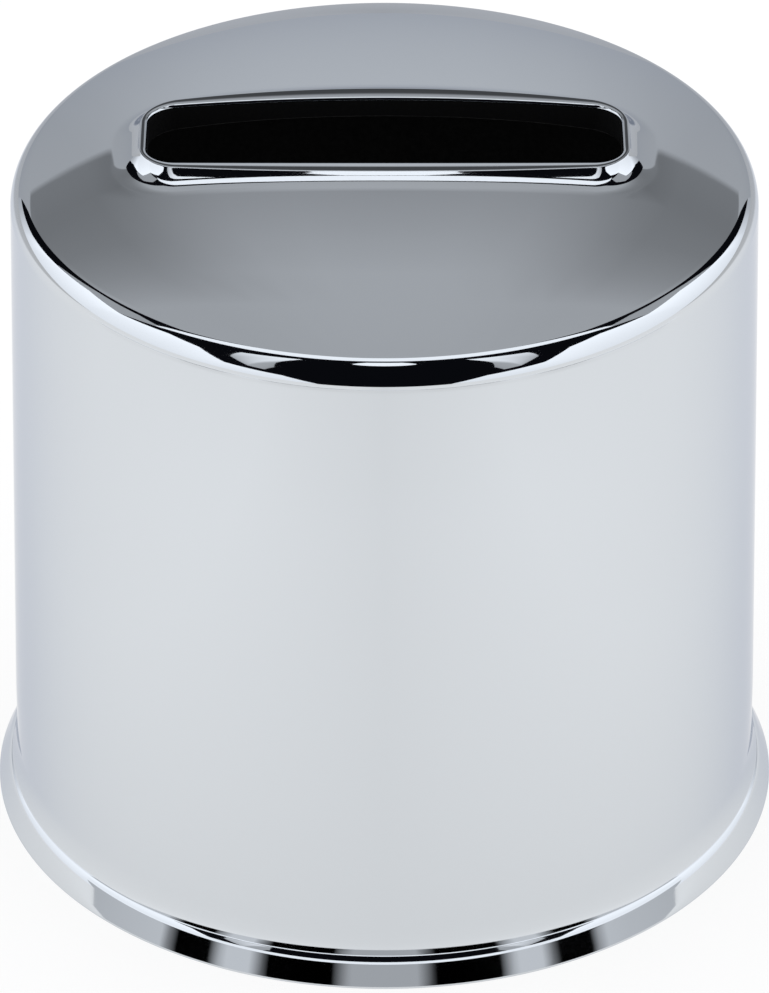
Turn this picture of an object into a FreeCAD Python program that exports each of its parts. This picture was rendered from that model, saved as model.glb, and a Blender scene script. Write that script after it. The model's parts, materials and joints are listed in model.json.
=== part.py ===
import FreeCAD, Part
import math
import os
import Sketcher

# One-piece push-through wheel center cap, moulded and chrome plated.
# Millimetres. The origin is at the middle of the base ring, +Z runs up the axis
# of the cap, and the slot in the domed top is long in X.

DIMENSIONS = {
    # Wall and domed top
    "pilot_radius": 61.8,
    "pilot_start": 9.6,
    "pilot_length": 10.0,
    "wall_draft": 1.5,
    "edge_height": 114.0,
    "dome_rise": 8.3,
    "edge_round": 5.0,
    "wall": 2.5,
    # Flange at the base: flared skirt, rounded bead and the cove above it
    "flange_width": 3.45,
    "flange_height": 5.65,
    "skirt_flare": 19.0,
    "bead_radius": 2.1,
    "cove_radius": 12.0,
    "lip_width": 2.4,
    "base_round": 0.4,
    # Slot in the top, with bowed long sides, and the collar raised around it
    "slot_length": 76.3,
    "slot_width": 20.8,
    "slot_bow": 1.65,
    "slot_corner": 5.0,
    "rim_side": 2.1,
    "rim_end": 0.75,
    "side_slope": 38.0,
    "end_slope": 55.0,
    "crest_height": 1.05,
    "crest_radius": 760.0,
    "crest_round": 0.5,
    "collar_blend": 5.0,
}

# Derived lengths, written once and used by several sketches
FLANGE_RADIUS = "(dims.pilot_radius + dims.flange_width)"
TOP_RADIUS = "(dims.pilot_radius - dims.wall_draft)"
DOME_RADIUS = f"({TOP_RADIUS}^2 + dims.dome_rise^2) / (2 * dims.dome_rise)"
APEX = "(dims.edge_height + dims.dome_rise)"
CREST = "(dims.edge_height + dims.dome_rise + dims.crest_height)"
SIDE_RADIUS = "((dims.slot_length / 2)^2 + dims.slot_bow^2) / (2 * dims.slot_bow)"
# Drop from the collar's crest to the foot of its boss, and to the boss's head above the crest
FOOT_DROP = "(dims.dome_rise + dims.crest_height)"
HEAD_DROP = "(-dims.crest_height)"

# The axes that every sketch has, and the named points of a curve
H_AXIS, V_AXIS = range(-1, -3, -1)
START, END, CENTER = range(1, 4)
ORIGIN = (H_AXIS, START)
TOLERANCE = 1e-3

doc = FreeCAD.newDocument("center_cap")
sheet = doc.addObject("Spreadsheet::Sheet", "dims")
for row, (alias, value) in enumerate(DIMENSIONS.items(), start=1):
    sheet.set(f"A{row}", alias)
    sheet.set(f"B{row}", str(value))
    sheet.setAlias(f"B{row}", alias)
doc.recompute()


def size(alias):
    """Value of one driving dimension, read back from the sheet."""
    return float(sheet.get(alias))


def vec(x, y):
    return FreeCAD.Vector(x, y, 0)


def line(start, end):
    return Part.LineSegment(vec(*start), vec(*end))


def arc(center, radius, start_angle, end_angle):
    """Counter-clockwise arc, angles in radians."""
    circle = Part.Circle(vec(*center), FreeCAD.Vector(0, 0, 1), radius)
    return Part.ArcOfCircle(circle, start_angle, end_angle)


def make_sketch(body, name, role, lift=None):
    """Empty sketch on one of the body's own origin planes, raised by an expression."""
    sketch = body.newObject("Sketcher::SketchObject", name)
    plane = next(f for f in body.Origin.OriginFeatures if f.Role == role)
    sketch.AttachmentSupport = (plane, "")
    sketch.MapMode = "FlatFace"
    if lift:
        sketch.setExpression("AttachmentOffset.Base.z", lift)
    return sketch


def bind(sketch, name, expression, *constraint):
    """Add a dimensional constraint and tie it to the sheet."""
    index = sketch.addConstraint(Sketcher.Constraint(*constraint))
    sketch.renameConstraint(index, name)
    sketch.setExpression(f"Constraints.{name}", expression)


def tie(sketch, kind, *items):
    sketch.addConstraint(Sketcher.Constraint(kind, *items))


def close_loop(sketch, joints):
    """Join the ends of a loop's curves. A joint is (curve, end, curve, end, kind)."""
    for first, first_end, second, second_end, kind in joints:
        tie(sketch, kind, first, first_end, second, second_end)


def distance(sketch, name, expression, axis, curve, point):
    """Distance of a point from the sketch origin along X or Y."""
    place = sketch.getPoint(curve, point)
    value = place.x if axis == "X" else place.y
    ends = (*ORIGIN, curve, point) if value >= 0 else (curve, point, *ORIGIN)
    bind(sketch, name, expression, f"Distance{axis}", *ends, abs(value))


def flange_radius():
    return size("pilot_radius") + size("flange_width")


def top_radius():
    return size("pilot_radius") - size("wall_draft")


def dome_radius():
    return (top_radius() ** 2 + size("dome_rise") ** 2) / (2 * size("dome_rise"))


def apex_height():
    return size("edge_height") + size("dome_rise")


def add_feature(body, kind, name, **settings):
    """Add a feature to the body, set it up and check that it made a valid solid."""
    feature = body.newObject(kind, name)
    for key, value in settings.items():
        setattr(feature, key, value)
    doc.recompute()
    if not feature.isValid() or feature.Shape.isNull() or not feature.Shape.isValid():
        raise RuntimeError(f"{name} could not be made")
    return feature


def require_cut(before, after):
    if after.Shape.Volume > before.Shape.Volume - TOLERANCE:
        raise RuntimeError(f"{after.Name} cuts nothing")


def edges_where(feature, test):
    names = [
        f"Edge{i}" for i, edge in enumerate(feature.Shape.Edges, 1)
        if not edge.Degenerated and test(edge)
    ]
    if not names:
        raise RuntimeError(f"{feature.Name} has no such edge")
    return (feature, names)


def is_ring(edge, radius, height=None):
    """True for a full circle about the axis, with this radius and height."""
    curve = edge.Curve
    if not isinstance(curve, Part.Circle) or abs(curve.Radius - radius) > TOLERANCE:
        return False
    return height is None or abs(curve.Center.z - height) < TOLERANCE


def add_round(body, name, base, test, radius):
    """Round the base feature's edges that pass the test."""
    fillet = body.newObject("PartDesign::Fillet", name)
    fillet.Base = edges_where(base, test)
    fillet.setExpression("Radius", f"dims.{radius}" if radius in DIMENSIONS else radius)
    doc.recompute()
    if not fillet.isValid() or fillet.Shape.isNull() or not fillet.Shape.isValid():
        raise RuntimeError(f"{name} could not be made")
    return fillet


def draw_outer_section(sketch):
    """Half section of the outside: base, skirt, bead, cove, pilot land, wall and dome."""
    pilot, start = size("pilot_radius"), size("pilot_start")
    bead, cove = size("bead_radius"), size("cove_radius")
    flare = math.radians(size("skirt_flare"))
    bead_z = size("flange_height") - bead
    bead_x = flange_radius() - bead_z * math.tan(flare) - bead / math.cos(flare)
    # The bead and the cove cross where the distance to each centre is its radius.
    cove_x, gap_x, gap_z = pilot + cove, pilot + cove - bead_x, start - bead_z
    span = math.hypot(gap_x, gap_z)
    lead = math.atan2(gap_z, gap_x)
    meet = lead + math.acos((bead**2 + span**2 - cove**2) / (2 * bead * span))
    crease = (bead_x + bead * math.cos(meet), bead_z + bead * math.sin(meet))
    cove_end = 2 * math.pi + math.atan2(crease[1] - start, crease[0] - cove_x)
    skirt_top = (bead_x + bead * math.cos(flare), bead_z + bead * math.sin(flare))
    land_top = (pilot, start + size("pilot_length"))
    edge = (top_radius(), size("edge_height"))
    ball = (0, apex_height() - dome_radius())
    edge_angle = math.atan2(edge[1] - ball[1], edge[0])
    sketch.addGeometry([
        line((0, 0), (flange_radius(), 0)),
        line((flange_radius(), 0), skirt_top),
        arc((bead_x, bead_z), bead, flare, meet),
        arc((cove_x, start), cove, math.pi, cove_end),
        line((pilot, start), land_top),
        line(land_top, edge),
        arc(ball, dome_radius(), edge_angle, math.pi / 2),
        line((0, apex_height()), (0, 0)),
    ])
    close_loop(sketch, [
        (0, END, 1, START, "Coincident"),
        (1, END, 2, START, "Tangent"),
        (2, END, 3, END, "Coincident"),
        (3, START, 4, START, "Tangent"),
        (4, END, 5, START, "Coincident"),
        (5, END, 6, START, "Coincident"),
        (6, END, 7, START, "Coincident"),
        (7, END, 0, START, "Coincident"),
    ])
    tie(sketch, "Coincident", 0, START, *ORIGIN)
    tie(sketch, "Horizontal", 0)
    tie(sketch, "Vertical", 4)
    tie(sketch, "Vertical", 7)
    tie(sketch, "PointOnObject", 6, CENTER, V_AXIS)
    distance(sketch, "flange_radius", FLANGE_RADIUS, "X", 0, END)
    bind(sketch, "skirt_slope", "(90 + dims.skirt_flare) * 1 deg", "Angle", 1, math.pi / 2 + flare)
    bind(sketch, "bead_radius", "dims.bead_radius", "Radius", 2, bead)
    distance(sketch, "bead_place", "dims.flange_height - dims.bead_radius", "Y", 2, CENTER)
    bind(sketch, "cove_radius", "dims.cove_radius", "Radius", 3, cove)
    distance(sketch, "pilot_radius", "dims.pilot_radius", "X", 4, START)
    distance(sketch, "pilot_start", "dims.pilot_start", "Y", 4, START)
    distance(sketch, "pilot_end", "dims.pilot_start + dims.pilot_length", "Y", 4, END)
    distance(sketch, "top_radius", TOP_RADIUS, "X", 5, END)
    distance(sketch, "edge_height", "dims.edge_height", "Y", 5, END)
    distance(sketch, "apex", APEX, "Y", 6, END)


def draw_inner_section(sketch):
    """Half section of the hollow: inside of the lip, shoulder, wall and dome."""
    wall = size("wall")
    flare = math.radians(size("skirt_flare"))
    mouth = flange_radius() - size("lip_width")
    shoulder = size("flange_height") - wall
    lip_top = (mouth - shoulder * math.tan(flare), shoulder)
    bore = size("pilot_radius") - wall
    land_top = (bore, size("pilot_start") + size("pilot_length"))
    top = top_radius() - wall
    ball_z = apex_height() - dome_radius()
    ball_radius = dome_radius() - wall
    edge_angle = math.acos(top / ball_radius)
    edge = (top, ball_z + ball_radius * math.sin(edge_angle))
    sketch.addGeometry([
        line((0, 0), (mouth, 0)),
        line((mouth, 0), lip_top),
        line(lip_top, (bore, shoulder)),
        line((bore, shoulder), land_top),
        line(land_top, edge),
        arc((0, ball_z), ball_radius, edge_angle, math.pi / 2),
        line((0, apex_height() - wall), (0, 0)),
    ])
    curves = 7
    close_loop(sketch, [(i, END, (i + 1) % curves, START, "Coincident") for i in range(curves)])
    tie(sketch, "Coincident", 0, START, *ORIGIN)
    tie(sketch, "Horizontal", 0)
    tie(sketch, "Horizontal", 2)
    tie(sketch, "Vertical", 3)
    tie(sketch, "Vertical", 6)
    tie(sketch, "PointOnObject", 5, CENTER, V_AXIS)
    distance(sketch, "mouth", f"{FLANGE_RADIUS} - dims.lip_width", "X", 0, END)
    bind(sketch, "lip_slope", "(90 + dims.skirt_flare) * 1 deg", "Angle", 1, math.pi / 2 + flare)
    distance(sketch, "shoulder", "dims.flange_height - dims.wall", "Y", 2, START)
    distance(sketch, "bore", "dims.pilot_radius - dims.wall", "X", 3, START)
    distance(sketch, "land_top", "dims.pilot_start + dims.pilot_length", "Y", 3, END)
    distance(sketch, "top_bore", f"{TOP_RADIUS} - dims.wall", "X", 4, END)
    bind(sketch, "dome_radius", f"{DOME_RADIUS} - dims.wall", "Radius", 5, ball_radius)
    distance(sketch, "ceiling", f"{APEX} - dims.wall", "Y", 5, END)


def draw_crest_section(sketch):
    """Half section of what is cut off above the collar's gently curved crest."""
    reach, radius = top_radius(), size("crest_radius")
    crest = apex_height() + size("crest_height")
    clear = crest + size("collar_blend") + size("crest_height")
    ball_z = crest - radius
    edge_angle = math.acos(reach / radius)
    edge = (reach, ball_z + radius * math.sin(edge_angle))
    sketch.addGeometry([
        arc((0, ball_z), radius, edge_angle, math.pi / 2),
        line((0, crest), (0, clear)),
        line((0, clear), (reach, clear)),
        line((reach, clear), edge),
    ])
    curves = 4
    close_loop(sketch, [(i, END, (i + 1) % curves, START, "Coincident") for i in range(curves)])
    tie(sketch, "PointOnObject", 0, CENTER, V_AXIS)
    tie(sketch, "PointOnObject", 0, END, V_AXIS)
    tie(sketch, "Vertical", 1)
    tie(sketch, "Horizontal", 2)
    tie(sketch, "Vertical", 3)
    bind(sketch, "crest_radius", "dims.crest_radius", "Radius", 0, radius)
    distance(sketch, "crest", CREST, "Y", 0, END)
    distance(sketch, "clear", f"{CREST} + dims.collar_blend + dims.crest_height", "Y", 1, END)
    distance(sketch, "reach", TOP_RADIUS, "X", 2, END)


def collar_growth(drop, drop_text):
    """How much larger than the slot the collar's outline is, at a drop below its crest.

    Gives the value and the expression for the sides, the ends and the curves. The flank slopes
    more gently along the sides than at the ends.
    """
    side = drop / math.tan(math.radians(size("side_slope")))
    end = drop / math.tan(math.radians(size("end_slope")))
    side_text = f"{drop_text} / tan(dims.side_slope * 1 deg)"
    end_text = f"{drop_text} / tan(dims.end_slope * 1 deg)"
    return (
        (size("rim_side") + side, f" + dims.rim_side + {side_text}"),
        (size("rim_end") + end, f" + dims.rim_end + {end_text}"),
        (size("rim_side") + end, f" + dims.rim_side + {end_text}"),
    )


def draw_barrel(sketch, growth=((0.0, ""), (0.0, ""), (0.0, ""))):
    """Outline with bowed long sides: the slot's own, or the collar's at one level around it."""
    (side_grow, side_text), (end_grow, end_text), (curve_grow, curve_text) = growth
    half_length = size("slot_length") / 2
    bow = size("slot_bow")
    side = (half_length**2 + bow**2) / (2 * bow) + curve_grow
    side_y = size("slot_width") / 2 + side_grow - side
    corner = size("slot_corner") + curve_grow
    end_x = half_length + end_grow
    corner_x = end_x - corner
    lean = math.asin(corner_x / (side - corner))
    corner_y = side_y + (side - corner) * math.cos(lean)
    right, up, left, down = 0.0, math.pi / 2, math.pi, 3 * math.pi / 2
    full = 2 * math.pi
    sketch.addGeometry([
        arc((0, side_y), side, up - lean, up + lean),
        arc((-corner_x, corner_y), corner, up + lean, left),
        line((-end_x, corner_y), (-end_x, -corner_y)),
        arc((-corner_x, -corner_y), corner, left, down - lean),
        arc((0, -side_y), side, down - lean, down + lean),
        arc((corner_x, -corner_y), corner, down + lean, full),
        line((end_x, -corner_y), (end_x, corner_y)),
        arc((corner_x, corner_y), corner, right, up - lean),
    ])
    curves = 8
    close_loop(sketch, [(i, END, (i + 1) % curves, START, "Tangent") for i in range(curves)])
    for side_arc in (0, 4):
        tie(sketch, "PointOnObject", side_arc, CENTER, V_AXIS)
    for end_line in (2, 6):
        tie(sketch, "Vertical", end_line)
    for corner_arc in (3, 5, 7):
        tie(sketch, "Equal", 1, corner_arc)
    tie(sketch, "Equal", 0, 4)
    side_radius = f"{SIDE_RADIUS}{curve_text}"
    side_place = f"{side_radius} - (dims.slot_width / 2{side_text})"
    bind(sketch, "side_radius", side_radius, "Radius", 0, side)
    bind(sketch, "corner_radius", f"dims.slot_corner{curve_text}", "Radius", 1, corner)
    distance(sketch, "left_end", f"dims.slot_length / 2{end_text}", "X", 2, START)
    distance(sketch, "right_end", f"dims.slot_length / 2{end_text}", "X", 6, START)
    distance(sketch, "far_side", side_place, "Y", 0, CENTER)
    distance(sketch, "near_side", side_place, "Y", 4, CENTER)


def build_cap():
    body = doc.addObject("PartDesign::Body", "center_cap")
    body.Label = "center_cap"
    top, wall = top_radius(), size("wall")

    outer = make_sketch(body, "outer_section", "XZ_Plane")
    draw_outer_section(outer)
    solid = add_feature(body, "PartDesign::Revolution", "turned_form",
                        Profile=outer, ReferenceAxis=(outer, ["V_Axis"]), Angle=360.0)
    solid = add_round(body, "rounded_edge", solid,
                      lambda e: is_ring(e, top, size("edge_height")), "edge_round")

    # Boss for the collar, blended into the dome and then cut to the crest
    foot = make_sketch(body, "collar_foot_outline", "XY_Plane", lift="dims.edge_height")
    draw_barrel(foot, collar_growth(size("dome_rise") + size("crest_height"), FOOT_DROP))
    head = make_sketch(body, "collar_head_outline", "XY_Plane", lift=f"{CREST} - {HEAD_DROP}")
    draw_barrel(head, collar_growth(-size("crest_height"), HEAD_DROP))
    boss = add_feature(body, "PartDesign::AdditiveLoft", "collar_boss",
                       Profile=foot, Sections=[head], Ruled=True)
    blend = add_round(body, "collar_foot", boss, on_collar_foot, "collar_blend")
    crest = make_sketch(body, "crest_section", "XZ_Plane")
    draw_crest_section(crest)
    trimmed = add_feature(body, "PartDesign::Groove", "crest_trim",
                          Profile=crest, ReferenceAxis=(crest, ["V_Axis"]), Angle=360.0)
    require_cut(blend, trimmed)

    # Hollow, then the slot through the top
    inner = make_sketch(body, "inner_section", "XZ_Plane")
    draw_inner_section(inner)
    hollow = add_feature(body, "PartDesign::Groove", "hollow",
                         Profile=inner, ReferenceAxis=(inner, ["V_Axis"]), Angle=360.0)
    require_cut(trimmed, hollow)
    opening = make_sketch(body, "slot_outline", "XY_Plane", lift="dims.edge_height")
    draw_barrel(opening)
    slot = add_feature(body, "PartDesign::Pocket", "slot",
                       Profile=opening, Type="ThroughAll", Reversed=True)
    require_cut(hollow, slot)

    solid = add_round(body, "crest_edges", slot, lambda e: on_crest(e, slot), "crest_round")
    solid = add_round(body, "inner_corner", solid,
                      lambda e: is_ring(e, top - wall), "dims.edge_round - dims.wall")
    solid = add_round(body, "base_edge", solid,
                      lambda e: is_ring(e, flange_radius(), 0), "base_round")
    body.Tip = solid
    return body


def on_collar_foot(edge):
    """True for the edges where the boss stands on the dome."""
    dome = Part.Sphere()
    dome.Radius = dome_radius()
    dome.Center = FreeCAD.Vector(0, 0, apex_height() - dome_radius())
    reach = top_radius() - size("edge_round")
    for part in (0.0, 0.5, 1.0):
        place = edge.valueAt(edge.FirstParameter + part * (edge.LastParameter - edge.FirstParameter))
        if abs(place.distanceToPoint(dome.Center) - dome.Radius) > TOLERANCE:
            return False
        if math.hypot(place.x, place.y) > reach:
            return False
    return True


def on_crest(edge, feature):
    """True for the two loops of edges that bound the collar's crest."""
    for face in feature.Shape.Faces:
        surface = face.Surface
        if isinstance(surface, Part.Sphere) and abs(surface.Radius - size("crest_radius")) < TOLERANCE:
            return not edge.isSeam(face) and any(edge.isSame(other) for other in face.Edges)
    return False


cap = build_cap()
doc.recompute()
for item in doc.Objects:
    if "Invalid" in item.State or "Error" in item.State:
        raise RuntimeError(f"{item.Name} is {item.State}")
if cap.Shape.isNull() or not cap.Shape.isValid() or len(cap.Shape.Solids) != 1:
    raise RuntimeError("the cap is not one valid solid")

os.makedirs("parts", exist_ok=True)
cap.Shape.exportStep(os.path.join("parts", f"{cap.Label}.step"))
print(f"{cap.Label}: {cap.Shape.Volume:.0f} mm3")
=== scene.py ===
import json
import math

import bmesh
import bpy
from bpy.props import FloatProperty, IntProperty, PointerProperty, StringProperty
from bpy.types import Operator, Panel, PropertyGroup
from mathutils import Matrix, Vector


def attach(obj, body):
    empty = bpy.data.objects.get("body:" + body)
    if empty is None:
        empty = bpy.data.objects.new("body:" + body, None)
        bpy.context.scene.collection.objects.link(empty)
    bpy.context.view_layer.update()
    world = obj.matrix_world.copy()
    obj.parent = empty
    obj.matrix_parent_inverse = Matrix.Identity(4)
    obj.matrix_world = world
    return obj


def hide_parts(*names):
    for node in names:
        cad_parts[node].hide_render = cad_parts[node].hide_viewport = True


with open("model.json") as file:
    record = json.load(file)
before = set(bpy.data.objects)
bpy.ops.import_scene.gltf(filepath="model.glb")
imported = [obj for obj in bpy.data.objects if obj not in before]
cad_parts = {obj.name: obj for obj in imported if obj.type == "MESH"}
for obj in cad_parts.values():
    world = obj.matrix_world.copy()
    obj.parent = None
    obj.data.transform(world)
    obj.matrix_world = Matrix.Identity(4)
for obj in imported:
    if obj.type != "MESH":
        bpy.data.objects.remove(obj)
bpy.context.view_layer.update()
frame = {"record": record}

bl_info = {
    "name": "Wheel Center Cap",
    "version": (1, 0, 0),
    "blender": (4, 5, 0),
    "location": "3D View > Sidebar > Center Cap",
    "description": "Chrome push-through wheel center cap, with the studio it stands in",
    "category": "Add Mesh",
}

MM = 0.001
PILOT = next(m for m in frame["record"]["mounts"] if m["name"] == "wheel_pilot")["dims"]

# Rings that the section has along each of its stretches
WALL_RINGS = 14
ROUND_RINGS = 8
CREST_RINGS = 6
FILLET_RINGS = 22
DOME_RINGS = 26
EDGE_RINGS = 28
COVE_RINGS = 18
BEAD_RINGS = 28
BREAK_RINGS = 4
CEILING_RINGS = 16
# Rounds of halving and of settling, where a round touches two forms
HALVINGS = 50
SETTLINGS = 6
# Smallest step between two points of the section, in metres
CLOSE = 1e-7
# Folds sharper than this stay crisp, in degrees
CRISP = 35.0
# Patterns of the finishes, in millimetres: haze and roll of the plate, grain of the moulding
HAZE = 22.0
ROLL, ROLL_DEPTH = 30.0, 0.02
GRAIN, GRAIN_DEPTH = 0.8, 0.05


def length(name, size, description):
    """Length property, given in millimetres."""
    return FloatProperty(name=name, description=description, default=size * MM,
                         min=0.0, unit="LENGTH", subtype="DISTANCE")


def angle(name, size, description):
    """Angle property, given in degrees."""
    return FloatProperty(name=name, description=description, default=math.radians(size),
                         unit="ROTATION", subtype="ANGLE")


def colour(name, code, description):
    """Colour property, given as an sRGB hex value."""
    return StringProperty(name=name, description=description, default=code)


class CapSizes(PropertyGroup):
    pilot_radius: length("Pilot radius", PILOT["r_mm"],
                         "Outside radius of the straight land above the flange")
    pilot_start: length("Pilot start", 9.6, "Height where the straight land starts")
    pilot_length: length("Pilot length", PILOT["length_mm"], "Height of the straight land")
    wall_draft: length("Wall draft", 1.5, "How much narrower the wall is at its top")
    edge_height: length("Edge height", 113.7, "Height where the wall and the dome would meet")
    dome_rise: length("Dome rise", 8.5, "How far the dome rises above that edge")
    edge_round: length("Edge round", 5.0, "Radius of the round between wall and dome")
    wall: length("Wall", 2.5, "Thickness of the moulded wall")
    flange_width: length("Flange width", 3.45, "How far the flange stands out from the pilot")
    flange_height: length("Flange height", 5.65, "Height of the flange's bead")
    skirt_flare: angle("Skirt flare", 24.0, "Slope of the flange's skirt")
    bead_radius: length("Bead radius", 3.0, "Radius of the bead along the flange's upper edge")
    cove_radius: length("Cove radius", 12.0, "Radius of the hollow between bead and wall")
    lip_width: length("Lip width", 2.4, "Width of the ring that the cap stands on")
    base_round: length("Base round", 0.4, "Round on the lower edge of the skirt")
    slot_length: length("Slot length", 76.3, "Length of the slot in the top")
    slot_width: length("Slot width", 20.8, "Width of the slot at its middle")
    slot_bow: length("Slot bow", 1.65, "How far the long sides bow out")
    slot_corner: length("Slot corner", 5.0, "Corner radius of the slot")
    collar_inset: length("Collar inset", 0.3,
                         "From the slot's edge to where the collar's fillet would be upright")
    collar_fillet: length("Collar fillet", 7.0,
                          "Radius of the hollow fillet from the dome up to the crest")
    crest_tilt: angle("Crest tilt", 5.0, "How much the crest leans into the slot at its inner edge")
    crest_height: length("Crest height", 1.15, "Height of the collar above the dome at the axis")
    crest_radius: length("Crest radius", 760.0, "Curve of the collar's crest")
    slot_round: length("Slot round", 0.6, "Round on the crest's edge along the slot")
    crest_round: length("Crest round", 0.4, "Round on the crest's outer edge")
    edge_break: length("Edge break", 0.25, "Small break on the inside edges")
    stations: IntProperty(name="Stations", description="Steps round the cap, in fours",
                          default=360, min=48)


class CapFinish(PropertyGroup):
    chrome: colour("Chrome", "#D9DDE1", "Reflection colour of the chrome plate")
    chrome_edge: colour("Chrome edge", "#DFE2E9", "Tint of the chrome where it is seen at a glance")
    # The inside is bare black plastic; its near-black tone is deepened as painted shade for the hollow
    # behind the slot
    inside: colour("Inside", "#070708", "Colour of the bare plastic inside")


class StudioLook(PropertyGroup):
    white: colour("White", "#FFFFFF", "Colour of the table and the background")
    lens: FloatProperty(name="Lens", description="Focal length of the camera", default=274.4,
                        unit="CAMERA")
    distance: length("Distance", 1250.0, "From the camera to the middle of the cap")
    elevation: angle("Elevation", 32.27, "Height of the camera above the horizon")
    aim_drop: angle("Aim drop", 0.16, "How far below the middle of the cap the camera looks")


def linear(code):
    """Linear RGBA of an sRGB hex value."""
    parts = [int(code[i:i + 2], 16) / 255 for i in (1, 3, 5)]
    return [p / 12.92 if p <= 0.04045 else ((p + 0.055) / 1.055) ** 2.4 for p in parts] + [1.0]


def node(tree, kind, sockets=(), links=(), **settings):
    """Add a node, set its attributes and sockets, and link its inputs."""
    made = tree.nodes.new(kind)
    for key, value in settings.items():
        setattr(made, key, value)
    for key, value in dict(sockets).items():
        made.inputs[key].default_value = value
    for key, source in dict(links).items():
        tree.links.new(source, made.inputs[key])
    return made


def new_material(name):
    material = bpy.data.materials.new(name)
    material.use_nodes = True
    material.node_tree.nodes.clear()
    return material, material.node_tree


def spread(start, end, steps):
    return [start + (end - start) * i / steps for i in range(steps + 1)]


def arc(centre, radius, start, end, steps):
    """Arc in the section plane, angles in radians, with both ends."""
    return [centre + radius * Vector((math.cos(a), math.sin(a))) for a in spread(start, end, steps)]


def run(start, end, steps):
    """Straight run in the section plane, with both ends."""
    return [start.lerp(end, i / steps) for i in range(steps + 1)]


def rounded(before, corner, after, radius):
    """Small round on a corner of the section."""
    back, ahead = (before - corner).normalized(), (after - corner).normalized()
    half = back.angle(ahead) / 2
    first, last = (corner + side * radius / math.tan(half) for side in (back, ahead))
    centre = corner + (back + ahead).normalized() * radius / math.sin(half)
    start, end = (first - centre).normalized(), (last - centre).normalized()
    return [centre + radius * start.slerp(end, i / BREAK_RINGS) for i in range(BREAK_RINGS + 1)]


def joined(*stretches):
    """One list of section points, without the doubles where stretches meet."""
    points = []
    for point in (p for stretch in stretches for p in stretch):
        if not points or (point - points[-1]).length > CLOSE:
            points.append(point)
    return points


class Barrel:
    """One quarter of an outline with straight ends, round corners and bowed long sides."""

    def __init__(self, half_length, half_width, side, corner):
        self.end, self.side, self.corner = half_length, side, corner
        self.side_y = half_width - side
        self.corner_x = half_length - corner
        self.lean = math.asin(self.corner_x / (side - corner))
        self.corner_y = self.side_y + (side - corner) * math.cos(self.lean)
        self.turns = (0.0, math.pi / 2 - self.lean, self.lean)
        self.lengths = (self.corner_y, corner * self.turns[1], side * self.lean)

    def station(self, bearing):
        """Stretch, and part of it, for a bearing from the middle: half by length, half by turn."""
        share = bearing / (math.pi / 2)
        for stretch in range(3):
            width = self.lengths[stretch] / sum(self.lengths) / 2 + self.turns[stretch] / math.pi
            if share <= width or stretch == 2:
                return stretch, min(share / width, 1.0)
            share -= width

    def at(self, stretch, part):
        """Point and outward normal at a station."""
        if stretch == 0:
            return Vector((self.end, part * self.corner_y)), Vector((1.0, 0.0))
        if stretch == 1:
            centre, radius = Vector((self.corner_x, self.corner_y)), self.corner
            turned = part * self.turns[1]
        else:
            centre, radius = Vector((0.0, self.side_y)), self.side
            turned = self.turns[1] + part * self.lean
        out = Vector((math.cos(turned), math.sin(turned)))
        return centre + radius * out, out


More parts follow.
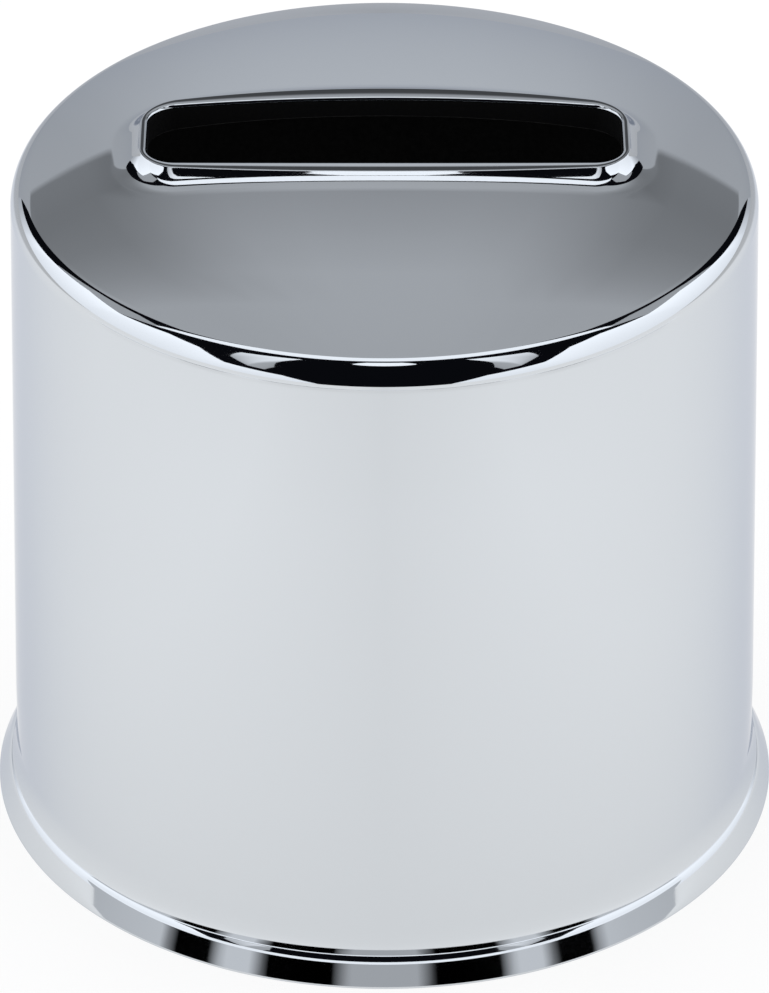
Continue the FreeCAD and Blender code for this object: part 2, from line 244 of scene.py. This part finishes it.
class CapForm:
    """The cap's section at any bearing, worked out from its sizes."""

    def __init__(self, sizes):
        self.s = sizes
        top = sizes.pilot_radius - sizes.wall_draft
        self.crest = sizes.edge_height + sizes.dome_rise + sizes.crest_height
        side = ((sizes.slot_length / 2) ** 2 + sizes.slot_bow**2) / (2 * sizes.slot_bow)
        self.slot = Barrel(sizes.slot_length / 2, sizes.slot_width / 2, side, sizes.slot_corner)
        land = sizes.pilot_start + sizes.pilot_length
        self.wall_foot = Vector((sizes.pilot_radius, land))
        self.wall_top = Vector((top, sizes.edge_height))
        inner_top = top - sizes.wall
        self.bore_foot = Vector((sizes.pilot_radius - sizes.wall, land))
        self.bore_top = Vector((inner_top, self.dome_at(inner_top)[0] - sizes.wall))
        self.edge = self.round_under(self.wall_foot, self.wall_top, 0.0, sizes.edge_round)
        self.inner_edge = self.round_under(self.bore_foot, self.bore_top, sizes.wall,
                                           sizes.edge_round - sizes.wall)
        self.turned, self.turned_inside = self.turned_section()

    def dome_at(self, reach):
        """Height and slope of the dome, which is flatter in the middle than a ball."""
        part, rise = reach / self.wall_top.x, self.s.dome_rise
        height = self.s.edge_height + rise * (1 - (part**2 + part**4) / 2)
        return height, math.atan(rise / self.wall_top.x * (part + 2 * part**3))

    def round_under(self, foot, top, depth, radius):
        """Round between a wall and the dome, or its underside, from the dome down."""
        along = (top - foot).normalized()
        out = Vector((along.y, -along.x))
        low, high = 0.0, top.x
        for _ in range(HALVINGS):
            reach = (low + high) / 2
            height, slope = self.dome_at(reach)
            sideways, drop = radius * math.sin(slope), radius * math.cos(slope)
            centre = Vector((reach - sideways, height - depth - drop))
            if (centre - top + radius * out).dot(out) < 0:
                low = reach
            else:
                high = reach
        return arc(centre, radius, math.pi / 2 - slope, math.atan2(out.y, out.x), EDGE_RINGS)

    def turned_section(self):
        """Section below the dome: wall, cove, bead, skirt and base, then up the inside."""
        s = self.s
        flange = s.pilot_radius + s.flange_width
        out = Vector((math.cos(s.skirt_flare), math.sin(s.skirt_flare)))
        bead_z = s.flange_height - s.bead_radius
        bead = Vector((flange - bead_z * math.tan(s.skirt_flare) - s.bead_radius / out.x, bead_z))
        cove = Vector((s.pilot_radius + s.cove_radius, s.pilot_start))
        gap = cove - bead
        swing = s.bead_radius**2 + gap.length_squared - s.cove_radius**2
        swing /= 2 * s.bead_radius * gap.length
        meet = math.atan2(gap.y, gap.x) + math.acos(swing)
        crease = bead + s.bead_radius * Vector((math.cos(meet), math.sin(meet)))
        cove_end = 2 * math.pi + math.atan2(crease.y - cove.y, crease.x - cove.x)
        base = Vector((flange - s.base_round * (1 + out.y) / out.x, s.base_round))
        mouth = Vector((flange - s.lip_width, 0.0))
        shoulder_z = s.flange_height - s.wall
        lip_top = Vector((mouth.x - shoulder_z * math.tan(s.skirt_flare), shoulder_z))
        shoulder = Vector((self.bore_foot.x, shoulder_z))
        base_run = arc(base, s.base_round, s.skirt_flare, -math.pi / 2, ROUND_RINGS)
        outside = joined(
            self.edge,
            run(self.edge[-1], self.wall_foot, WALL_RINGS),
            run(self.wall_foot, Vector((s.pilot_radius, s.pilot_start)), BREAK_RINGS),
            arc(cove, s.cove_radius, math.pi, cove_end, COVE_RINGS),
            arc(bead, s.bead_radius, meet, s.skirt_flare, BEAD_RINGS),
            run(bead + s.bead_radius * out, base_run[0], BREAK_RINGS),
            base_run,
        )
        inside = joined(
            rounded(base_run[-1], mouth, lip_top, s.edge_break),
            rounded(mouth, lip_top, shoulder, s.edge_break),
            rounded(lip_top, shoulder, self.bore_foot, s.edge_break),
            run(self.bore_foot, self.inner_edge[-1], WALL_RINGS),
            reversed(self.inner_edge),
        )
        return outside, inside

    def section(self, bearing):
        """Closed section at one bearing: up the slot, out over the top, down and back inside."""
        mirror_x = math.copysign(1.0, math.cos(bearing))
        mirror_y = math.copysign(1.0, math.sin(bearing))
        across = Vector((abs(math.cos(bearing)), abs(math.sin(bearing))))
        outer, ceiling = self.top(math.atan2(across.y, across.x), across)
        turned = [[Vector((*(p.x * across), p.y)) for p in stretch]
                  for stretch in (self.turned, self.turned_inside)]
        points = outer + turned[0][1:] + turned[1] + ceiling[1:]
        return [Vector((p.x * mirror_x, p.y * mirror_y, p.z)) for p in points]

    def inside_start(self):
        """Number of the first ring on the inside."""
        outer, _ = self.top(0.0, Vector((1.0, 0.0)))
        return len(outer) + len(self.turned) - 1

    def crest_line(self, flat, out):
        """Height and slope of the crest's surface, going outwards."""
        rise = math.sqrt(self.s.crest_radius**2 - flat.length_squared)
        return self.crest - self.s.crest_radius + rise, -flat.dot(out) / rise

    def top(self, bearing, across):
        """Slot wall, crest, fillet and dome at one bearing, and the ceiling inside."""
        s = self.s
        flat, flat_out = self.slot.at(*self.slot.station(bearing))
        slot, out, up = flat.to_3d(), flat_out.to_3d(), Vector((0.0, 0.0, 1.0))
        ball, down = self.fillet_ball(slot + (s.collar_inset + s.collar_fillet) * out)

        # Outer round of the crest, which touches the crest and the ball in the fillet
        round_at, span = slot + s.crest_round * out, s.collar_fillet + s.crest_round
        for _ in range(SETTLINGS):
            height, slope = self.crest_line(round_at.to_2d(), flat_out)
            steep = math.acos((ball.z - height + s.crest_round * math.hypot(1.0, slope)) / span)
            round_at = ball - span * (math.sin(steep) * out + math.cos(steep) * up)
        outer = [round_at + s.crest_round * (math.cos(a) * out + math.sin(a) * up)
                 for a in spread(math.pi / 2 + math.atan(slope), math.pi / 2 - steep, ROUND_RINGS)]
        start = -(math.sin(steep) * out + math.cos(steep) * up)
        fillet = [ball + s.collar_fillet * start.slerp(down, i / FILLET_RINGS)
                  for i in range(FILLET_RINGS + 1)]

        # Inner round of the crest, above the slot's wall: the crest leans in and dips towards it
        base = slot + s.slot_round * out
        dip = max((outer[0] - base).dot(out), 0.0) * math.tan(s.crest_tilt) / 2
        height, slope = self.crest_line(base.to_2d(), flat_out)
        slope += math.tan(s.crest_tilt)
        centre = base + (height - dip - s.slot_round * math.hypot(1.0, slope)) * up
        inner = [centre + s.slot_round * (math.cos(a) * out + math.sin(a) * up)
                 for a in spread(math.pi, math.pi / 2 + math.atan(slope), ROUND_RINGS)]
        wall = run(self.on_dome(slot, s.wall - s.edge_break), inner[0], BREAK_RINGS)
        crest = run(inner[-1], outer[0], CREST_RINGS)
        for number, place in enumerate(crest):
            sag = dip * (1 - number / CREST_RINGS) ** 2
            place.z = self.crest_line(place.to_2d(), flat_out)[0] - sag

        # Dome out to the edge round, and the ceiling back to the slot
        foot = Vector((fillet[-1].x, fillet[-1].y, 0.0))
        dome = [self.on_dome(p) for p in run(foot, self.edge[0].x * across.to_3d(), DOME_RINGS)[1:]]
        bore = self.inner_edge[0].x * across.to_3d()
        ceiling = [self.on_dome(p, s.wall) for p in run(bore, slot + s.edge_break * out, CEILING_RINGS)]
        return wall[:-1] + inner + crest[1:-1] + outer + fillet[1:] + dome, ceiling

    def fillet_ball(self, over):
        """Ball of the fillet that lies on the dome below a place, and the way down to its touch."""
        radius, slope = self.s.collar_fillet, 0.0
        for _ in range(SETTLINGS):
            height, slope = self.dome_at(over.to_2d().length - radius * math.sin(slope))
        down = -(math.sin(slope) * over.normalized() + math.cos(slope) * Vector((0.0, 0.0, 1.0)))
        return over + (height + radius * math.cos(slope)) * Vector((0.0, 0.0, 1.0)), down

    def on_dome(self, flat, depth=0.0):
        """Place on the dome, or a depth below it."""
        return Vector((flat.x, flat.y, self.dome_at(flat.to_2d().length)[0] - depth))


def chrome_plate(finish):
    """Bright chrome plate on a polished moulding: a cool mirror with a faint haze and roll."""
    material, tree = new_material("bright_chrome_plate")
    place = node(tree, "ShaderNodeTexCoord").outputs["Object"]
    haze = node(tree, "ShaderNodeTexNoise", {"Scale": 1 / (HAZE * MM), "Detail": 3.0},
                {"Vector": place})
    rough = node(tree, "ShaderNodeMapRange",
                 {"From Min": 0.3, "From Max": 0.75, "To Min": 0.02, "To Max": 0.05},
                 {"Value": haze.outputs["Fac"]})
    roll = node(tree, "ShaderNodeTexNoise", {"Scale": 1 / (ROLL * MM), "Detail": 1.0},
                {"Vector": place})
    wave = node(tree, "ShaderNodeBump", {"Strength": 1.0, "Distance": ROLL_DEPTH * MM},
                {"Height": roll.outputs["Fac"]})
    shader = node(tree, "ShaderNodeBsdfPrincipled",
                  {"Base Color": linear(finish.chrome),
                   "Specular Tint": linear(finish.chrome_edge), "Metallic": 1.0},
                  {"Roughness": rough.outputs["Result"], "Normal": wave.outputs["Normal"]})
    node(tree, "ShaderNodeOutputMaterial", links={"Surface": shader.outputs["BSDF"]})
    return material


def black_plastic_painted_shade(finish):
    """Moulded ABS that the plating leaves bare: black and dull, with a fine eroded grain. Its
    near-black tone and weak reflection are deepened as painted shade for the hollow behind the slot.
    """
    material, tree = new_material("dark_abs_painted_shade")
    place = node(tree, "ShaderNodeTexCoord").outputs["Object"]
    grain = node(tree, "ShaderNodeTexNoise", {"Scale": 1 / (GRAIN * MM), "Detail": 4.0},
                 {"Vector": place})
    rough = node(tree, "ShaderNodeMapRange",
                 {"From Min": 0.3, "From Max": 0.7, "To Min": 0.7, "To Max": 0.85},
                 {"Value": grain.outputs["Fac"]})
    pits = node(tree, "ShaderNodeBump", {"Strength": 0.6, "Distance": GRAIN_DEPTH * MM},
                {"Height": grain.outputs["Fac"]})
    # Near-black colour and a weak reflection: painted shade for the hollow behind the slot
    shader = node(tree, "ShaderNodeBsdfPrincipled",
                  {"Base Color": linear(finish.inside), "IOR": 1.53, "Specular IOR Level": 0.12},
                  {"Roughness": rough.outputs["Result"], "Normal": pits.outputs["Normal"]})
    node(tree, "ShaderNodeOutputMaterial", links={"Surface": shader.outputs["BSDF"]})
    return material


class CENTERCAP_OT_add_shell(Operator):
    """Turn the cap's section about its axis and press the collared slot into the top"""

    bl_idname = "center_cap.add_shell"
    bl_label = "Add Shell"

    def execute(self, context):
        sizes = context.scene.center_cap_sizes
        form = CapForm(sizes)
        section = form.section(math.pi / 2)
        bpy.ops.object.select_all(action="DESELECT")
        bpy.ops.mesh.primitive_circle_add(vertices=len(section), radius=sizes.pilot_radius)
        shell = context.active_object
        shell.name = shell.data.name = "cap_shell"
        bpy.ops.object.mode_set(mode="EDIT")
        mesh = bmesh.from_edit_mesh(shell.data)
        ring = mesh.verts.layers.int.new("ring")
        mesh.verts.ensure_lookup_table()
        for number, place in enumerate(section):
            mesh.verts[number][ring] = number
            mesh.verts[number].co = place
        bmesh.update_edit_mesh(shell.data)
        bpy.ops.mesh.select_all(action="SELECT")
        bpy.ops.mesh.spin(steps=sizes.stations, angle=2 * math.pi, use_auto_merge=True,
                          center=(0, 0, 0), axis=(0, 0, 1))
        self.press_slot(shell, form, sizes.stations)
        bpy.ops.mesh.select_all(action="SELECT")
        bpy.ops.mesh.normals_make_consistent(inside=False)
        bpy.ops.object.mode_set(mode="OBJECT")
        if len(shell.data.vertices) != len(section) * sizes.stations:
            raise RuntimeError("the shell did not close on itself")
        shell.data.materials.append(chrome_plate(context.scene.center_cap_finish))
        shell.data.materials.append(black_plastic_painted_shade(context.scene.center_cap_finish))
        bpy.ops.object.shade_smooth_by_angle(angle=math.radians(CRISP))
        bpy.ops.object.modifier_add(type="WEIGHTED_NORMAL")
        shell.modifiers[-1].keep_sharp = True
        bpy.ops.object.modifier_apply(modifier=shell.modifiers[-1].name)
        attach(shell, "root")
        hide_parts("center_cap")
        return {"FINISHED"}

    def press_slot(self, shell, form, stations):
        """Settle each ring of the turned blank on the cap's section, and mark the bare inside and the
        slot's wall, whose dark plastic is partly painted shade.
        """
        mesh = bmesh.from_edit_mesh(shell.data)
        ring = mesh.verts.layers.int["ring"]
        step = 2 * math.pi / stations
        sections = [form.section(number * step) for number in range(stations)]
        for vert in mesh.verts:
            vert.co = sections[round(math.atan2(vert.co.y, vert.co.x) / step) % stations][vert[ring]]
        inside = form.inside_start()
        last = len(sections[0]) - 1
        for face in mesh.faces:
            rings = {vert[ring] for vert in face.verts}
            # The slot's wall, which the plating would cover, is given the dark plastic as painted shade
            bare = min(rings) >= inside or max(rings) <= BREAK_RINGS or rings == {0, last}
            face.material_index = int(bare)
        mesh.verts.layers.int.remove(ring)
        bmesh.update_edit_mesh(shell.data)


# Panels of the white tent, measured in its half-width. It stands far enough off for its picture in
# the chrome to be the same all over the cap.
TENT = 8.0
TENT_LIFT = 0.115
CLOTH = "#F7FAFF"
# Side wall: place along the table, height and brightness
SIDE_WALL = [
    (1.66, 0.12, 0.5), (1.2, 0.25, 0.65), (0.9, 0.33, 1.0), (0.72, 0.47, 1.4),
    (0.45, 0.82, 1.4), (0.1, 0.74, 1.4), (-0.1, 1.1, 1.4), (-0.45, 1.02, 1.35),
    (-0.9, 0.49, 1.3), (-1.75, 0.53, 1.2), (-2.9, 0.0, 1.1),
]
SIDE_FOOT, SIDE_LOW = -0.03, 1.1
# Dim flat above the side wall: place along the table, lower and upper edge
UPPER_FLAT = [(0.65, 0.6, 1.15), (0.45, 0.82, 1.4), (0.1, 0.74, 1.3)]
UPPER_GLOW = 0.45
# Backdrop: height, half of its width, and its brightness in the middle and at the edges
BACKDROP = [
    (-0.03, 0.72, 0.6, 0.5), (0.43, 0.75, 0.65, 0.5), (0.48, 0.78, 0.63, 0.5),
    (0.51, 0.8, 0.08, 0.26), (0.66, 0.88, 0.08, 0.24), (0.73, 0.92, 0.4, 0.24),
    (0.95, 1.0, 0.47, 0.27), (1.2, 1.1, 0.52, 0.34), (1.6, 1.2, 0.52, 0.48),
    (3.4, 1.6, 0.5, 0.5),
]
BACKDROP_STEPS, BACKDROP_MIDDLE, BACKDROP_SIDE = 24, 0.08, 0.45
# Right half of the roof, behind the gap that the camera looks through and before it: place across,
# then the front and the back edge. The part behind hangs low over the edge of the cap.
ROOF_BACK = [
    (0.0, 0.07, 0.335), (0.12, 0.06, 0.33), (0.39, 0.07, 0.28), (0.74, 0.12, 0.2),
    (0.89, 0.12, 0.13),
]
ROOF_FRONT = [(0.0, -0.27, -0.035), (0.045, -0.26, -0.04), (0.072, -0.24, -0.1), (0.093, -0.2, -0.16)]
ROOF_DROP, ROOF_EDGE = 0.5, Vector((0.0, -0.058, 0.117))
ROOF_GLOW, FRONT_GLOW = 1.25, 1.3
# Right strip of the roof beside the camera: inner edge, outer edge, and their brightness
ROOF_STRIP = [
    ((0.23, -0.1), (0.5, -0.2), 1.3, 1.0), ((0.29, -0.21), (0.85, -0.62), 1.2, 0.52),
    ((0.49, -0.54), (1.31, -1.46), 0.5, 0.55), ((0.75, -1.04), (1.26, -1.73), 0.4, 0.45),
]
# Low cards before the flange: bearing from the camera's side, and brightness. They lean in line with
# the edge of the cap's top, which sees no more of them than their own edge. Foot, head and the top of
# their white trim are given as distance from the axis and height, in metres.
CARDS = [
    (0, 0.5), (8, 0.5), (13, 0.0), (29, 0.0), (34, 0.75), (40, 0.75), (45, 0.0), (54, 0.0),
    (59, 0.7), (84, 0.6),
]
CARD_FOOT, CARD_HEAD = Vector((0.5, 0.0)), Vector((0.28, 0.0585))
CARD_TOP, CARD_TRIM = Vector((0.2, 0.0794)), 1.2
# Table: side, how far it lies below the cap, and how white it stays to the eye and in the chrome
TABLE_SIDE, TABLE_DROP, TABLE_LIT = 16.0, 0.02, 0.85
# Painted shade on the table, seen only in the chrome: its tone before the cap, beside it, and where it
# runs back
PAINTED_SHADE_BEFORE, PAINTED_SHADE_BESIDE, PAINTED_SHADE_BEHIND = 0.88, 0.97, 0.6
BESIDE_AT, BEHIND_FROM, BEHIND_TO = 0.13, 0.28, 0.4
# Room behind the panels, and the fill that dull surfaces get
ROOM, FILL = "#0B0C10", 0.8
# Softbox above the cap: place, what it faces, side and power
LAMP_AT, LAMP_TO = Vector((0.0, 0.35, 1.2)), Vector((0.0, 0.0, 0.06))
LAMP_SIDE, LAMP_POWER = 0.9, 6.0
# Height that the camera goes round, in millimetres
CAMERA_MIDDLE = 57.5
CAMERA_NEAR, CAMERA_FAR = 0.05, 50.0


def lit_cloth():
    """White cloth of the tent, lit from behind as brightly as each panel says."""
    material, tree = new_material("tent_cloth")
    bright = node(tree, "ShaderNodeAttribute", attribute_name="glow")
    shader = node(tree, "ShaderNodeEmission", {"Color": linear(CLOTH)},
                  {"Strength": bright.outputs["Fac"]})
    node(tree, "ShaderNodeOutputMaterial", links={"Surface": shader.outputs["Emission"]})
    return material


def add_sheet(name, rows, material):
    """Sheet of cloth through rows of points, each with its brightness."""
    across = len(rows[0])
    faces = [(i, i + 1, i + across + 1, i + across)
             for i in range((len(rows) - 1) * across) if (i + 1) % across]
    mesh = bpy.data.meshes.new(name)
    mesh.from_pydata([place for row in rows for place, _ in row], [], faces)
    bright = [glow for row in rows for _, glow in row]
    mesh.attributes.new("glow", "FLOAT", "POINT").data.foreach_set("value", bright)
    mesh.materials.append(material)
    sheet = bpy.data.objects.new(name, mesh)
    bpy.context.scene.collection.objects.link(sheet)
    sheet.visible_camera = False
    sheet.visible_shadow = False


def tent(x, y, z):
    """Place in the tent, from half-widths to metres."""
    return Vector((TENT * x, TENT * y, TENT * z + TENT_LIFT))


def card_rows():
    """Cards on an arc before the cap, each foot and head, and their white trim, head and top."""
    rows, trim = [], []
    for bearing, glow in [(-b, g) for b, g in reversed(CARDS)] + CARDS[1:]:
        turned = math.radians(bearing)
        away = Vector((math.sin(turned), -math.cos(turned), 0.0))
        foot, head, top = (edge.x * away + Vector((0.0, 0.0, edge.y))
                           for edge in (CARD_FOOT, CARD_HEAD, CARD_TOP))
        rows.append([(foot, glow), (head, glow)])
        trim.append([(head, CARD_TRIM), (top, CARD_TRIM)])
    return rows, trim


def backdrop_side(share):
    """How far a place across the backdrop, from -1 to 1, is from its middle tone to its side tone."""
    part = (abs(share) - BACKDROP_MIDDLE) / (BACKDROP_SIDE - BACKDROP_MIDDLE)
    part = min(max(part, 0.0), 1.0)
    return part**2 * (3 - 2 * part)


def add_tent():
    """Backdrop, two walls and the roof's pieces, with the cards that stand before the flange."""
    cloth = lit_cloth()
    add_sheet("backdrop", [
        [(tent(share * wide, 1.0, height), middle + (edge - middle) * backdrop_side(share))
         for share in spread(-1.0, 1.0, BACKDROP_STEPS)]
        for height, wide, middle, edge in BACKDROP], cloth)
    for name, side in (("left", -1.0), ("right", 1.0)):
        add_sheet(f"{name}_wall", [
            [(tent(side, along, SIDE_FOOT), min(glow, SIDE_LOW)), (tent(side, along, height), glow)]
            for along, height, glow in SIDE_WALL], cloth)
        add_sheet(f"{name}_roof_back", [
            [(ROOF_EDGE + ROOF_DROP * Vector((side * x, y, 1.0)), ROOF_GLOW) for y in (front, back)]
            for x, front, back in ROOF_BACK], cloth)
        add_sheet(f"{name}_roof_front", [
            [(tent(side * x, y, 1.0), FRONT_GLOW) for y in (front, back)]
            for x, front, back in ROOF_FRONT], cloth)
        add_sheet(f"{name}_roof_strip", [
            [(tent(side * inner[0], inner[1], 1.0), near),
             (tent(side * outer[0], outer[1], 1.0), far)]
            for inner, outer, near, far in ROOF_STRIP], cloth)
        add_sheet(f"{name}_upper_flat", [
            [(tent(side, along, low), UPPER_GLOW), (tent(side, along, high), UPPER_GLOW)]
            for along, low, high in UPPER_FLAT], cloth)
    rows, trim = card_rows()
    add_sheet("flange_cards", rows, cloth)
    add_sheet("flange_card_trim", trim, cloth)


def white_table(code):
    """Table top that stays white to the eye and keeps a soft shadow; in the chrome, painted shade
    darkens it before the cap and where it runs back.
    """
    material, tree = new_material("white_table")
    rays = node(tree, "ShaderNodeLightPath")
    seen = node(tree, "ShaderNodeMath", operation="MAXIMUM",
                links={0: rays.outputs["Is Camera Ray"], 1: rays.outputs["Is Glossy Ray"]})
    share = node(tree, "ShaderNodeMath", {1: TABLE_LIT}, {0: seen.outputs["Value"]},
                 operation="MULTIPLY")
    paint = node(tree, "ShaderNodeBsdfDiffuse", {"Color": linear(code)})
    where = node(tree, "ShaderNodeTexCoord").outputs["Object"]
    place = node(tree, "ShaderNodeSeparateXYZ", links={"Vector": where})
    # Painted shade: in glossy rays the table's glow drops before the cap, a little beside it, and where
    # it runs back
    aside = node(tree, "ShaderNodeMath", links={0: place.outputs["X"]}, operation="ABSOLUTE")
    tone = node(tree, "ShaderNodeMapRange",
                {"From Max": BESIDE_AT, "To Min": PAINTED_SHADE_BEFORE, "To Max": PAINTED_SHADE_BESIDE},
                {"Value": aside.outputs["Value"]})
    behind = node(tree, "ShaderNodeMapRange",
                  {"From Min": BEHIND_FROM, "From Max": BEHIND_TO,
                   "To Min": 1.0, "To Max": PAINTED_SHADE_BEHIND},
                  {"Value": place.outputs["Y"]})
    painted_shade = node(tree, "ShaderNodeMath", operation="MULTIPLY",
                    links={0: tone.outputs["Result"], 1: behind.outputs["Result"]})
    shade_in_chrome = node(tree, "ShaderNodeMix", {"A": 1.0},
                 {"Factor": rays.outputs["Is Glossy Ray"], "B": painted_shade.outputs["Value"]})
    lit = node(tree, "ShaderNodeEmission", {"Color": linear(code)},
               {"Strength": shade_in_chrome.outputs["Result"]})
    mixed = node(tree, "ShaderNodeMixShader", links={
        "Fac": share.outputs["Value"], 1: paint.outputs["BSDF"], 2: lit.outputs["Emission"]})
    node(tree, "ShaderNodeOutputMaterial", links={"Surface": mixed.outputs["Shader"]})
    return material


def studio_world(code):
    """White behind the table, soft fill for dull surfaces, and a dark room in the chrome."""
    world = bpy.data.worlds.new("studio")
    world.use_nodes = True
    tree = world.node_tree
    tree.nodes.clear()
    rays = node(tree, "ShaderNodeLightPath")
    room = node(tree, "ShaderNodeBackground", {"Color": linear(ROOM), "Strength": 1.0})
    fill = node(tree, "ShaderNodeBackground", {"Color": linear(code), "Strength": FILL})
    white = node(tree, "ShaderNodeBackground", {"Color": linear(code), "Strength": 1.0})
    dull = node(tree, "ShaderNodeMixShader", links={
        "Fac": rays.outputs["Is Diffuse Ray"],
        1: room.outputs["Background"], 2: fill.outputs["Background"]})
    seen = node(tree, "ShaderNodeMixShader", links={
        "Fac": rays.outputs["Is Camera Ray"],
        1: dull.outputs["Shader"], 2: white.outputs["Background"]})
    node(tree, "ShaderNodeOutputWorld", links={"Surface": seen.outputs["Shader"]})
    bpy.context.scene.world = world


class CENTERCAP_OT_add_stage(Operator):
    """Set up the white table, the tent, the lamp and the camera"""

    bl_idname = "center_cap.add_stage"
    bl_label = "Add Stage"

    def execute(self, context):
        look = context.scene.center_cap_studio
        bpy.ops.object.select_all(action="DESELECT")
        bpy.ops.mesh.primitive_plane_add(size=1.0)
        table = context.active_object
        table.name = table.data.name = "table"
        bpy.ops.object.mode_set(mode="EDIT")
        bpy.ops.mesh.select_all(action="SELECT")
        bpy.ops.transform.resize(value=(TABLE_SIDE, TABLE_SIDE, 1.0))
        bpy.ops.transform.translate(value=(0.0, 0.0, -TABLE_DROP * MM))
        bpy.ops.object.mode_set(mode="OBJECT")
        table.data.materials.append(white_table(look.white))

        add_tent()
        studio_world(look.white)

        bpy.ops.object.light_add(type="AREA", location=LAMP_AT)
        lamp = context.active_object
        lamp.name = "overhead_softbox"
        lamp.rotation_euler = (LAMP_TO - LAMP_AT).to_track_quat("-Z", "Y").to_euler()
        lamp.data.size = LAMP_SIDE
        lamp.data.energy = LAMP_POWER
        lamp.visible_glossy = False
        lamp.visible_camera = False

        middle = Vector((0.0, 0.0, CAMERA_MIDDLE * MM))
        away = Vector((0.0, -math.cos(look.elevation), math.sin(look.elevation)))
        tilt = look.elevation + look.aim_drop
        ahead = Vector((0.0, math.cos(tilt), -math.sin(tilt)))
        bpy.ops.object.camera_add(location=middle + look.distance * away,
                                  rotation=ahead.to_track_quat("-Z", "Y").to_euler())
        camera = context.active_object
        camera.name = "photo_camera"
        camera.data.lens = look.lens
        camera.data.clip_start, camera.data.clip_end = CAMERA_NEAR, CAMERA_FAR
        context.scene.camera = camera
        context.scene.view_settings.view_transform = "Standard"
        return {"FINISHED"}


class CENTERCAP_PT_sidebar(Panel):
    """Sizes, finish and studio of the center cap"""

    bl_idname = "CENTERCAP_PT_sidebar"
    bl_label = "Center Cap"
    bl_space_type = "VIEW_3D"
    bl_region_type = "UI"
    bl_category = "Center Cap"

    def draw(self, context):
        column = self.layout.column()
        for group in ("center_cap_sizes", "center_cap_finish", "center_cap_studio"):
            values = getattr(context.scene, group)
            for key in values.__annotations__:
                column.prop(values, key)
            column.separator()
        column.operator(CENTERCAP_OT_add_shell.bl_idname)
        column.operator(CENTERCAP_OT_add_stage.bl_idname)


CLASSES = (CapSizes, CapFinish, StudioLook, CENTERCAP_OT_add_shell, CENTERCAP_OT_add_stage,
           CENTERCAP_PT_sidebar)


def register():
    for item in CLASSES:
        bpy.utils.register_class(item)
    bpy.types.Scene.center_cap_sizes = PointerProperty(type=CapSizes)
    bpy.types.Scene.center_cap_finish = PointerProperty(type=CapFinish)
    bpy.types.Scene.center_cap_studio = PointerProperty(type=StudioLook)


def unregister():
    del bpy.types.Scene.center_cap_studio
    del bpy.types.Scene.center_cap_finish
    del bpy.types.Scene.center_cap_sizes
    for item in reversed(CLASSES):
        bpy.utils.unregister_class(item)


def main():
    register()
    bpy.ops.center_cap.add_shell()
    bpy.ops.center_cap.add_stage()


if __name__ == "__main__":
    main()
